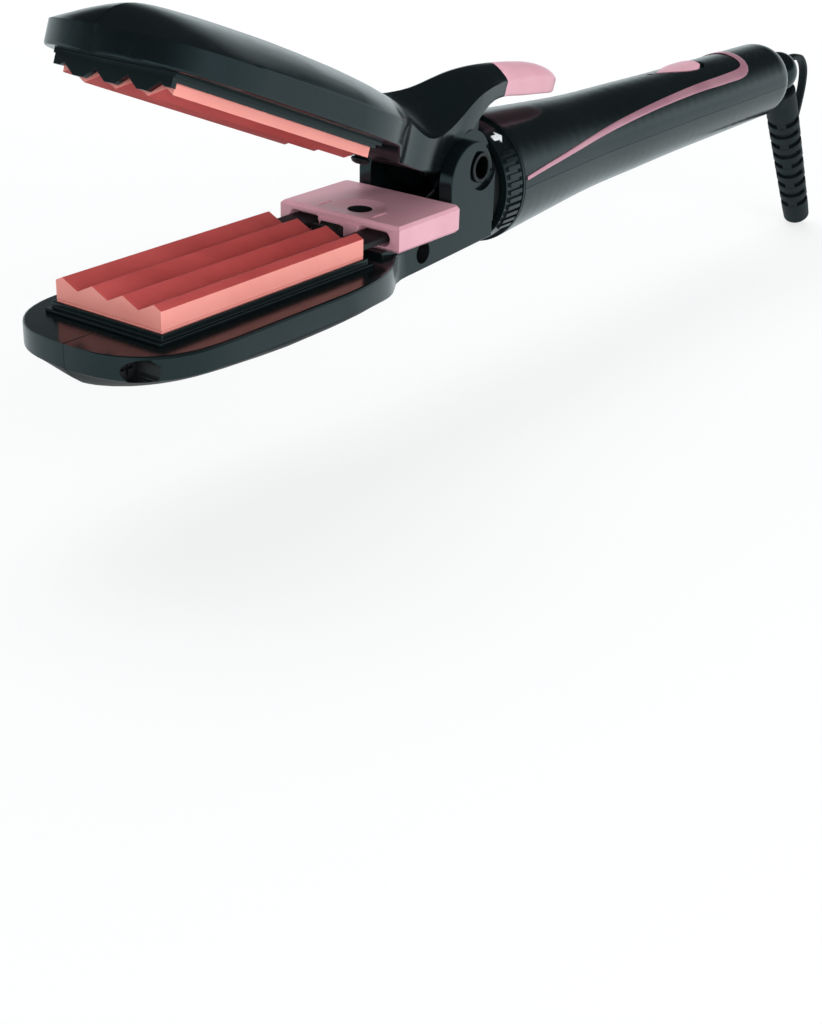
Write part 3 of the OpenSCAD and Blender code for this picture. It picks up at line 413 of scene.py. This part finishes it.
def easeDish(thing):
    only(thing)
    bpy.ops.object.mode_set(mode="EDIT")
    bpy.ops.mesh.select_mode(type="VERT")
    bpy.ops.mesh.select_all(action="DESELECT")
    mesh = bmesh.from_edit_mesh(thing.data)
    for vert in mesh.verts:
        at = vert.co / mm
        vert.select_set(dish["floor"] < at.z < dish["top"] - 0.01
                        and math.hypot(at.x - dish["x"], at.y) < dish["radius"])
    bmesh.update_edit_mesh(thing.data)
    bpy.ops.transform.resize(value=(1, 1, dish["keep"]), center_override=(0, 0, dish["top"] * mm))
    bpy.ops.object.mode_set(mode="OBJECT")


def dress(node):
    width, angle = dressing[node]
    thing = nodeCopy(node, node.replace("_", " ").title().replace(" ", ""))
    if node in seams:
        bevelEdges(thing, seams[node], seamWidth, 1)
    if node in rims:
        bevelEdges(thing, rims[node], rimWidth)
    if node == "cassette_grip":
        easeDish(thing)
    if width:
        applyModifier(thing, "BEVEL", width=width * mm, segments=3, limit_method="ANGLE",
                      angle_limit=math.radians(angle - 4))
    finished(thing, bodyOf[node], slots[node], [node], angle)
    if node in paintedShade:
        paintFaces(thing, *paintedShade[node])


for node in dressing:
    dress(node)
print("nodes dressed")


# strain relief

relief = {"top": 5.9, "end": 4.9, "length": 72.0, "collar": 7.6, "ribs": 9, "first": 20.0, "last": 65.0,
          "share": 0.56, "deep": 1.35, "bore": 2.8, "lean": 30.0, "bridge": 3.4, "rounding": 0.28,
          "inset": 1.0, "turn": 20}
ballPlace = Vector((216.6, 0, -8.8))


def reliefRadius(down):
    share = max(0.0, (down - relief["first"]) / (relief["length"] - relief["first"]))
    return relief["top"] + (relief["end"] - relief["top"]) * share


def reliefProfile():
    pitch = (relief["last"] - relief["first"]) / relief["ribs"]
    rows = [(relief["bore"], relief["collar"]), (relief["top"] - 0.9, relief["collar"]),
            (relief["top"], relief["collar"] + 0.9), (relief["top"], relief["first"])]
    for i in range(relief["ribs"]):
        down = relief["first"] + i * pitch
        r = reliefRadius(down)
        gap = pitch * (1 - relief["share"])
        rows += [(r - relief["deep"], down + 0.25), (r - relief["deep"], down + gap - 0.25),
                 (r, down + gap), (r, down + pitch)]
    return rows + [(relief["end"], relief["length"] - 1.2), (relief["end"] - 1.1, relief["length"]),
                   (relief["bore"], relief["length"])]


def turnedProfile(name, rows, sides=72):
    bpy.ops.object.select_all(action="DESELECT")
    radius, down = rows[0]
    bpy.ops.mesh.primitive_circle_add(vertices=sides, radius=radius * mm, location=(0, 0, -down * mm))
    thing = bpy.context.object
    thing.name = name
    bpy.ops.object.transform_apply(location=True)
    bpy.ops.object.mode_set(mode="EDIT")
    bpy.ops.mesh.select_all(action="SELECT")
    for nextRadius, nextDown in rows[1:]:
        bpy.ops.mesh.extrude_region_move(TRANSFORM_OT_translate={"value": (0, 0, (down - nextDown) * mm)})
        bpy.ops.transform.resize(value=(nextRadius / radius, nextRadius / radius, 1), center_override=(0, 0, 0))
        radius, down = nextRadius, nextDown
    bpy.ops.mesh.select_all(action="SELECT")
    bpy.ops.mesh.normals_make_consistent(inside=False)
    bpy.ops.object.mode_set(mode="OBJECT")
    return thing


def makeRelief():
    thing = turnedProfile("StrainRelief", reliefProfile())
    pitch = (relief["last"] - relief["first"]) / relief["ribs"]
    gap = pitch * (1 - relief["share"])
    bridges = []
    for i in range(relief["ribs"]):
        down = relief["first"] + i * pitch + gap / 2
        r = reliefRadius(down) - 0.12
        for side in (0, 180):
            turn = math.radians(side + 90 * (i % 2) + relief["turn"])
            reach = (r - relief["inset"]) * mm
            bpy.ops.object.select_all(action="DESELECT")
            bpy.ops.mesh.primitive_cube_add(size=mm, rotation=(0, 0, turn),
                                            location=(reach * math.cos(turn), reach * math.sin(turn), -down * mm))
            bridge = bpy.context.object
            bridge.scale = (2.0, relief["bridge"], gap + 0.7)
            bpy.ops.object.transform_apply(location=True, rotation=True, scale=True)
            bridges.append(bridge)
    applyModifier(thing, "BEVEL", width=relief["rounding"] * mm, segments=3, limit_method="ANGLE",
                  angle_limit=math.radians(35))
    for bridge in bridges:
        applyModifier(bridge, "BEVEL", width=0.5 * mm, segments=3, limit_method="ANGLE")
    only(thing)
    for bridge in bridges:
        bridge.select_set(True)
    bpy.ops.object.join()
    thing.rotation_euler = (0, math.radians(-relief["lean"]), 0)
    thing.location = ballPlace * mm
    bpy.ops.object.transform_apply(location=True, rotation=True, scale=True)
    return finished(thing, "swivel", "black_rubber", ["strain_relief"], 40)


makeRelief()
print("strain relief made")


# hanging loop: a flat strap swept from the ball to the strain relief

loop = {"rows": [(6.9, 3.3), (13, 3.8), (19, 2.6), (23.2, -1.4), (24.3, -7), (23, -14.5), (20.6, -21.2),
                 (17.6, -24.9)], "thick": 2.0, "wide": 3.0, "steps": 5}


def smoothPath(rows, steps):
    ends = [rows[0]] + rows + [rows[-1]]
    path = []
    for a, b, c, d in zip(ends, ends[1:], ends[2:], ends[3:]):
        for k in range(steps):
            t = k / steps
            path.append(tuple(0.5 * (2 * q + (r - p) * t + (2 * p - 5 * q + 4 * r - s) * t * t
                        + (3 * q - p - 3 * r + s) * t ** 3) for p, q, r, s in zip(a, b, c, d)))
    return path + [rows[-1]]


def makeLoop():
    path = [Vector((x, 0, z)) + ballPlace for x, z in smoothPath(loop["rows"], loop["steps"])]

    def heading(i):
        return math.atan2(*(path[min(i + 1, len(path) - 1)] - path[max(i - 1, 0)]).zx)

    bpy.ops.object.select_all(action="DESELECT")
    bpy.ops.mesh.primitive_plane_add(size=mm, location=path[0] * mm, rotation=(0, math.pi / 2 - heading(0), 0))
    thing = bpy.context.object
    thing.name = "HangingLoop"
    thing.scale = (loop["thick"], loop["wide"], 1)
    bpy.ops.object.transform_apply(location=True, rotation=True, scale=True)
    bpy.ops.object.mode_set(mode="EDIT")
    bpy.ops.mesh.select_all(action="SELECT")
    for i in range(1, len(path)):
        bpy.ops.mesh.extrude_region_move(TRANSFORM_OT_translate={"value": (path[i] - path[i - 1]) * mm})
        bpy.ops.transform.rotate(value=heading(i) - heading(i - 1), orient_axis="Y", center_override=path[i] * mm)
    bpy.ops.mesh.select_all(action="SELECT")
    bpy.ops.mesh.normals_make_consistent(inside=False)
    bpy.ops.object.mode_set(mode="OBJECT")
    applyModifier(thing, "BEVEL", width=0.6 * mm, segments=4, limit_method="ANGLE", angle_limit=math.radians(60))
    return finished(thing, "swivel", "black_rubber", ["hanging_loop"], 50)


makeLoop()
print("hanging loop made")

# what is sealed inside keeps its CAD mesh and gets its finish
for node, thing in frame["nodes"].items():
    if node not in dressing:
        thing.data.materials.clear()
        thing.data.materials.append(materials[slots[node]])

# stage, lights and camera

view = {"right": (0.59265, -0.80487, 0.03066), "up": (0.33752, 0.28272, 0.89785),
        "back": (-0.73132, -0.52177, 0.43922), "slide": (67.747, -44.045, 381.614),
        "pivot": (125.5, 0.0, 12.0), "lens": 60}


def addCamera():
    right, up, back = (Vector(view[k]) for k in ("right", "up", "back"))
    across, rise, away = view["slide"]
    spot = (right * across + up * rise + back * away - Vector(view["pivot"])) * mm
    data = bpy.data.cameras.new("Camera")
    data.lens = view["lens"]
    data.sensor_width = 36
    data.clip_start = 0.01
    camera = bpy.data.objects.new("Camera", data)
    bpy.context.scene.collection.objects.link(camera)
    camera.matrix_world = Matrix.Translation(spot) @ Matrix((right, up, back)).transposed().to_4x4()
    bpy.context.scene.camera = camera


# under the jaws the floor carries a painted shadow which only reflections see: its glow darkens towards a point
# beneath the object, and elsewhere reflections see the floor glow an even teal grey
stage = {"drop": 0.4 * mm, "size": 6.0, "white": 0.7, "mirrored": 0.8, "card": (-90, 20, 0),
         "near": 45, "far": 125, "dark": (0.03, 0.04, 0.042), "light": (0.74, 0.84, 0.86)}


def addFloor():
    bpy.ops.object.select_all(action="DESELECT")
    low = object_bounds()[0][2] - stage["drop"]
    bpy.ops.mesh.primitive_plane_add(size=stage["size"], location=(0, 0, low))
    floor = bpy.context.object
    floor.name = "Floor"
    g = Graph("pale floor")
    path = g.node("ShaderNodeLightPath")
    straight = g.number(path.outputs["Is Camera Ray"]).maths("MAXIMUM", path.outputs["Is Transmission Ray"])
    glossy = g.number(path.outputs["Is Glossy Ray"])
    seen = straight * stage["white"] + glossy * stage["mirrored"]
    # painted shadow for reflections: dark near the centre under the jaws, lighter further out
    x, y = g.xyz(g.place(shift=tuple(-c * mm for c in stage["card"])))[:2]
    away = ((x * x) * 0.35 + y * y).maths("SQRT").between(stage["near"] * mm, stage["far"] * mm)
    tone = g.blend(glossy, (1.0, 1.0, 1.0), g.blend(away, stage["dark"], stage["light"]))
    matt = g.node("ShaderNodeBsdfDiffuse", {}, {"Color": (0.86, 0.87, 0.87)})
    glow = g.node("ShaderNodeEmission", {}, {"Color": tone, "Strength": 1.0})
    mixed = g.node("ShaderNodeMixShader", {}, {0: seen, 1: matt.outputs[0], 2: glow.outputs[0]})
    g.tree.links.new(mixed.outputs[0], g.output.inputs["Surface"])
    floor.data.materials.append(g.material)


# what glossy rays see of the world, by height: it isn't the white that the camera sees
surround = {"soft": (0.93, 0.97, 1.0), "strength": 0.55,
            "stops": ((0.0, (0.80, 0.90, 0.92)), (0.1, (0.90, 0.98, 1.0)), (0.21, (0.40, 0.48, 0.49)),
                      (0.36, (0.03, 0.036, 0.037)), (1.0, (0.05, 0.055, 0.056)))}


def addWorld():
    world = bpy.data.worlds.new("Studio")
    bpy.context.scene.world = world
    world.use_nodes = True
    tree = world.node_tree
    tree.nodes.clear()
    out = tree.nodes.new("ShaderNodeOutputWorld")
    path = tree.nodes.new("ShaderNodeLightPath")
    soft = tree.nodes.new("ShaderNodeBackground")
    soft.inputs["Color"].default_value = (*surround["soft"], 1)
    soft.inputs["Strength"].default_value = surround["strength"]
    white = tree.nodes.new("ShaderNodeBackground")
    white.inputs["Strength"].default_value = 1.0
    mirror = tree.nodes.new("ShaderNodeBackground")
    coords = tree.nodes.new("ShaderNodeTexCoord")
    parts = tree.nodes.new("ShaderNodeSeparateXYZ")
    ramp = tree.nodes.new("ShaderNodeValToRGB")
    tree.links.new(coords.outputs["Generated"], parts.inputs[0])
    tree.links.new(parts.outputs["Z"], ramp.inputs["Fac"])
    while len(ramp.color_ramp.elements) < len(surround["stops"]):
        ramp.color_ramp.elements.new(0.5)
    for element, (position, colour) in zip(ramp.color_ramp.elements, surround["stops"]):
        element.position = position
        element.color = (*colour, 1)
    tree.links.new(ramp.outputs["Color"], mirror.inputs["Color"])
    first = tree.nodes.new("ShaderNodeMixShader")
    tree.links.new(path.outputs["Is Glossy Ray"], first.inputs[0])
    tree.links.new(soft.outputs[0], first.inputs[1])
    tree.links.new(mirror.outputs[0], first.inputs[2])
    second = tree.nodes.new("ShaderNodeMixShader")
    seen = tree.nodes.new("ShaderNodeMath")
    seen.operation = "MAXIMUM"
    tree.links.new(path.outputs["Is Camera Ray"], seen.inputs[0])
    tree.links.new(path.outputs["Is Transmission Ray"], seen.inputs[1])
    tree.links.new(seen.outputs[0], second.inputs[0])
    tree.links.new(first.outputs[0], second.inputs[1])
    tree.links.new(white.outputs[0], second.inputs[2])
    tree.links.new(second.outputs[0], out.inputs["Surface"])


lamps = {
    "Key": {"at": (-0.55, -1.0, 0.35), "to": (0.0, 0.0, 0.0), "size": (1.0, 0.7), "watts": 11},
    "Top": {"at": (0.15, 0.35, 1.1), "to": (0.05, 0.0, 0.0), "size": (1.2, 0.7), "watts": 6},
    "Rear": {"at": (0.95, 0.7, 0.35), "to": (0.1, 0.0, 0.0), "size": (0.7, 0.5), "watts": 4},
}


def addLamps():
    for name, lamp in lamps.items():
        data = bpy.data.lights.new(name, "AREA")
        data.shape = "RECTANGLE"
        data.size, data.size_y = lamp["size"]
        data.energy = lamp["watts"]
        light = bpy.data.objects.new(name, data)
        bpy.context.scene.collection.objects.link(light)
        light.visible_glossy = False
        spot = Vector(lamp["at"])
        aim = Vector(lamp["to"]) - spot
        light.matrix_world = Matrix.Translation(spot) @ aim.to_track_quat("-Z", "Y").to_matrix().to_4x4()


addCamera()
addFloor()
addWorld()
addLamps()
bpy.context.scene.view_settings.view_transform = "Standard"
print("stage set")
